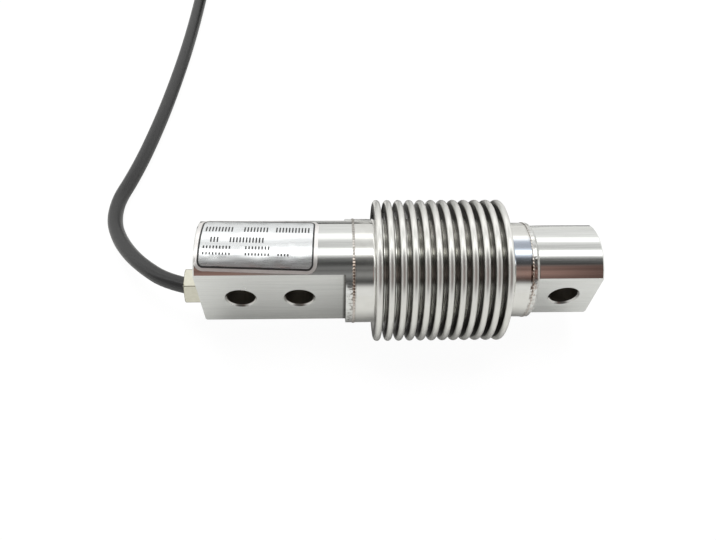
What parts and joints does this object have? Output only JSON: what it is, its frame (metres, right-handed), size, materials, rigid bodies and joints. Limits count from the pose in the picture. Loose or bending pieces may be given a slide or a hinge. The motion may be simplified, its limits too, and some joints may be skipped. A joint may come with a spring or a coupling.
{
  "type": "bellows load cell",
  "caption": "Bending-beam load cell sealed by a welded metal bellows, with a bolt-down mounting block, a flat load end with a cross hole, a foil plate and a cable through a gland.",
  "frame": {"origin": "on the beam's axis, midway between the two mounting holes", "axes": "+X along the beam towards the load end, -Y out of the milled flats that the picture shows, +Z towards the foil plate"},
  "size_m": [0.1559, 0.274, 0.042],
  "materials": {
    "body_steel": "turned and milled stainless steel, polished",
    "bellows_steel": "thin formed stainless steel, bright",
    "weld_steel": "weld bead with heat tint",
    "plate_foil": "thin satin foil with a printed border",
    "gland_metal": "nickel-plated brass, smooth",
    "washer_steel": "stamped stainless steel",
    "seal_rubber": "moulded rubber",
    "cable_sheath": "extruded black sheath, satin",
    "wire_red": "extruded insulation",
    "wire_black": "extruded insulation",
    "wire_green": "extruded insulation",
    "wire_white": "extruded insulation",
    "shield_wire": "twisted tinned copper strands",
    "potting_resin": "cast resin",
    "gauge_film": "polyimide film",
    "terminal_laminate": "glass-fibre laminate with tinned pads",
    "board_laminate": "glass-fibre laminate",
    "resistor_body": "moulded chip",
    "fine_wire": "enamelled copper",
    "tie_nylon": "moulded nylon"
  },
  "bodies": {
    "root": {"load_cell_body": "body_steel", "bellows": "bellows_steel", "mount_weld": "weld_steel", "load_weld": "weld_steel", "rating_plate": "plate_foil", "gland_screw": "gland_metal", "gland_outer_washer": "washer_steel", "gland_seal": "seal_rubber", "gland_inner_washer": "washer_steel", "cable_entry": "cable_sheath", "core_red": "wire_red", "core_black": "wire_black", "core_green": "wire_green", "core_white": "wire_white", "core_potting": "potting_resin", "strain_gauge_front_mount": "gauge_film", "strain_gauge_front_load": "gauge_film", "strain_gauge_back_mount": "gauge_film", "strain_gauge_back_load": "gauge_film", "terminal_strip_front": "terminal_laminate", "terminal_strip_back": "terminal_laminate", "gauge_leads": "fine_wire", "compensation_board": "board_laminate", "trim_resistors": "resistor_body", "bridge_wires": "fine_wire", "cable_lead": "cable_sheath", "cable_coil": "cable_sheath", "cable_tie": "tie_nylon", "cable_tail": "cable_sheath", "lead_red": "wire_red", "lead_black": "wire_black", "lead_green": "wire_green", "lead_white": "wire_white", "lead_shield": "shield_wire"}
  },
  "joints": []
}
